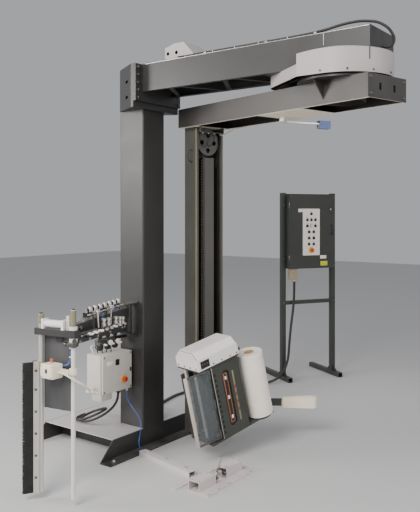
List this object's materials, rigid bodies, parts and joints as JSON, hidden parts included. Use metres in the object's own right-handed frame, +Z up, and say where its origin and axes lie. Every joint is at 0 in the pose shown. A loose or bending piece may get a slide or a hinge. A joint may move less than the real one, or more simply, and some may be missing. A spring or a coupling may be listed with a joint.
{
  "type": "rotary arm pallet wrapper",
  "caption": "Column and boom carrying a turning arm with a mast, film carriage and roll, plus a swinging film wiper, floor film clamp and a separate control console.",
  "frame": {"origin": "on the floor at the centre of the column", "axes": "+X along the boom from the column to the slewing axis, +Y towards the console, +Z up"},
  "size_m": [2.8987, 4.5596, 3.11],
  "materials": {
    "frame_paint": "satin dark grey powder coat",
    "arm_paint": "satin dark grey powder coat",
    "deck_steel": "bare tread plate",
    "guard_paint": "light grey paint",
    "zinc_steel": "zinc plated",
    "black_steel": "oiled",
    "aluminium": "natural extrusion",
    "cover_white": "moulded cover",
    "panel_paint": "hammered grey paint",
    "clear_sheet": "clear polycarbonate",
    "film_white": "wound stretch film",
    "roller_rubber": "ground rubber sleeve",
    "bristle": "nylon bristle strip",
    "curtain_rubber": "rubber sheet",
    "box_paint": "light grey enamel",
    "ivory_plastic": "moulded",
    "hose_black": "ribbed hose",
    "hose_blue": "polyurethane tube",
    "red_plastic": "moulded",
    "black_plastic": "moulded",
    "clamp_paint": "light grey paint"
  },
  "bodies": {
    "base": {"base_frame": "frame_paint", "deck_plate": "deck_steel", "column": "frame_paint", "boom": "frame_paint", "frame_bolts": "zinc_steel", "cable_hood": "guard_paint", "boom_conduit": "hose_black", "slewing_bearing": "black_steel", "slew_motor": "frame_paint", "slew_chain": "black_steel", "drive_guard": "guard_paint", "wiper_mount": "frame_paint", "junction_box": "box_paint", "air_unit": "black_plastic", "junction_hose": "hose_black", "air_hose": "hose_blue", "clamp_base": "clamp_paint", "hose_cover": "clamp_paint", "console_stand": "panel_paint", "console_cabinet": "panel_paint", "console_conduit": "hose_black"},
    "slew_sprocket": {"slew_sprocket": "black_steel"},
    "rotary_arm": {"arm": "arm_paint", "arm_cover": "ivory_plastic", "slew_wheel": "black_steel", "mast": "panel_paint", "lift_chain": "black_steel", "lift_motor": "frame_paint", "photo_eye": "aluminium"},
    "lift_sprocket_top": {"lift_sprocket_top": "zinc_steel"},
    "lift_sprocket_bottom": {"lift_sprocket_bottom": "zinc_steel"},
    "carriage": {"carriage_frame": "panel_paint", "carriage_cover": "cover_white", "carriage_panel": "panel_paint"},
    "stretch_roller_a": {"stretch_roller_a": "roller_rubber"},
    "stretch_roller_b": {"stretch_roller_b": "roller_rubber"},
    "dancer": {"dancer": "aluminium"},
    "film": {"film_roll": "film_white", "mandrel": "black_plastic"},
    "carriage_door": {"carriage_door": "clear_sheet"},
    "feeler": {"feeler": "ivory_plastic"},
    "wiper": {"wiper_arm": "frame_paint", "wiper_rod": "clamp_paint", "brush_holder": "aluminium", "brush": "bristle", "curtain": "curtain_rubber", "valve_bank": "zinc_steel", "sealer_box": "ivory_plastic", "spiral_cable": "ivory_plastic"},
    "box_door": {"box_door": "box_paint"},
    "box_estop": {"box_estop": "red_plastic"},
    "clamp_lever": {"clamp_lever": "zinc_steel"},
    "console_door": {"console_door": "panel_paint"},
    "console_estop": {"console_estop": "red_plastic"},
    "push_button_1": {"push_button_1": "black_plastic"},
    "push_button_2": {"push_button_2": "black_plastic"},
    "push_button_3": {"push_button_3": "black_plastic"},
    "push_button_4": {"push_button_4": "black_plastic"},
    "selector_1": {"selector_1": "black_plastic"},
    "selector_2": {"selector_2": "black_plastic"}
  },
  "joints": [
    {"name": "arm_rotation", "type": "hinge", "parent": "base", "child": "rotary_arm", "pos_m": [1.774, 0, 2.7], "axis": [0, 0, 1], "continuous": true},
    {"name": "slew_sprocket_spin", "type": "hinge", "parent": "base", "child": "slew_sprocket", "pos_m": [1.354, 0, 2.7], "axis": [0, 0, 1], "continuous": true},
    {"name": "carriage_lift", "type": "slide", "parent": "rotary_arm", "child": "carriage", "axis": [0, 0, 1], "range_m": [0, 1.6]},
    {"name": "lift_sprocket_top_spin", "type": "hinge", "parent": "rotary_arm", "child": "lift_sprocket_top", "pos_m": [0.39564, 0.36161, 2.41], "axis": [-0.9673, 0.2538, 0], "range_deg": [0, 880]},
    {"name": "lift_sprocket_bottom_spin", "type": "hinge", "parent": "rotary_arm", "child": "lift_sprocket_bottom", "pos_m": [0.39564, 0.36161, 0.2], "axis": [-0.9673, 0.2538, 0], "range_deg": [0, 880]},
    {"name": "stretch_roller_a_spin", "type": "hinge", "parent": "carriage", "child": "stretch_roller_a", "pos_m": [0.73243, -0.12405, 0.41749], "axis": [-0.0592, -0.2258, 0.9724], "continuous": true},
    {"name": "stretch_roller_b_spin", "type": "hinge", "parent": "carriage", "child": "stretch_roller_b", "pos_m": [0.67726, -0.0191, 0.4385], "axis": [-0.0592, -0.2258, 0.9724], "continuous": true},
    {"name": "dancer_swing", "type": "hinge", "parent": "carriage", "child": "dancer", "pos_m": [0.60848, -0.02116, 0.43384], "axis": [-0.0592, -0.2258, 0.9724], "range_deg": [0, 30], "stiffness_Nm_per_rad": 8},
    {"name": "film_roll_spin", "type": "hinge", "parent": "carriage", "child": "film", "pos_m": [0.87071, 0.32422, 0.53002], "axis": [-0.0592, -0.2258, 0.9724], "continuous": true},
    {"name": "carriage_door_hinge", "type": "hinge", "parent": "carriage", "child": "carriage_door", "pos_m": [0.80906, -0.09992, 0.42777], "axis": [-0.0592, -0.2258, 0.9724], "range_deg": [0, 100]},
    {"name": "feeler_deflect", "type": "hinge", "parent": "carriage", "child": "feeler", "pos_m": [0.77757, 0.58397, 0.3], "axis": [0, 0, 1], "range_deg": [0, 20], "stiffness_Nm_per_rad": 12},
    {"name": "wiper_swing", "type": "hinge", "parent": "base", "child": "wiper", "pos_m": [0.03, -0.205, 1], "axis": [0, 0, 1], "range_deg": [0, 35], "deforming": ["spiral_cable"]},
    {"name": "box_door_hinge", "type": "hinge", "parent": "base", "child": "box_door", "pos_m": [0.001, -0.468, 0.6], "axis": [0, 0, -1], "range_deg": [0, 110]},
    {"name": "box_estop_push", "type": "slide", "parent": "box_door", "child": "box_estop", "axis": [-1, 0, 0], "range_m": [0, 0.006]},
    {"name": "clamp_lever_swing", "type": "hinge", "parent": "base", "child": "clamp_lever", "pos_m": [0.985, -0.33, 0.04], "axis": [0, 1, 0], "range_deg": [0, 60]},
    {"name": "console_door_hinge", "type": "hinge", "parent": "base", "child": "console_door", "pos_m": [-0.00028, 2.37359, 1.6], "axis": [0, 0, -1], "range_deg": [0, 105]},
    {"name": "push_button_1_press", "type": "slide", "parent": "console_door", "child": "push_button_1", "axis": [-0.866, 0.5, 0], "range_m": [0, 0.004], "stiffness_N_per_m": 400},
    {"name": "push_button_2_press", "type": "slide", "parent": "console_door", "child": "push_button_2", "axis": [-0.866, 0.5, 0], "range_m": [0, 0.004], "stiffness_N_per_m": 400},
    {"name": "push_button_3_press", "type": "slide", "parent": "console_door", "child": "push_button_3", "axis": [-0.866, 0.5, 0], "range_m": [0, 0.004], "stiffness_N_per_m": 400},
    {"name": "push_button_4_press", "type": "slide", "parent": "console_door", "child": "push_button_4", "axis": [-0.866, 0.5, 0], "range_m": [0, 0.004], "stiffness_N_per_m": 400},
    {"name": "selector_1_turn", "type": "hinge", "parent": "console_door", "child": "selector_1", "pos_m": [0.11493, 2.56515, 1.695], "axis": [-0.866, 0.5, 0], "range_deg": [-45, 45]},
    {"name": "selector_2_turn", "type": "hinge", "parent": "console_door", "child": "selector_2", "pos_m": [0.16693, 2.65521, 1.695], "axis": [-0.866, 0.5, 0], "range_deg": [-45, 45]},
    {"name": "console_estop_push", "type": "slide", "parent": "console_door", "child": "console_estop", "axis": [-0.866, 0.5, 0], "range_m": [0, 0.006]}
  ],
  "couplings": [
    {"joint": "slew_sprocket_spin", "follows": "arm_rotation", "ratio": 4.5},
    {"joint": "lift_sprocket_top_spin", "follows": "carriage_lift", "rad_per_m": 9.5238},
    {"joint": "lift_sprocket_bottom_spin", "follows": "carriage_lift", "rad_per_m": 9.5238},
    {"joint": "stretch_roller_b_spin", "follows": "stretch_roller_a_spin", "ratio": -2.5}
  ]
}
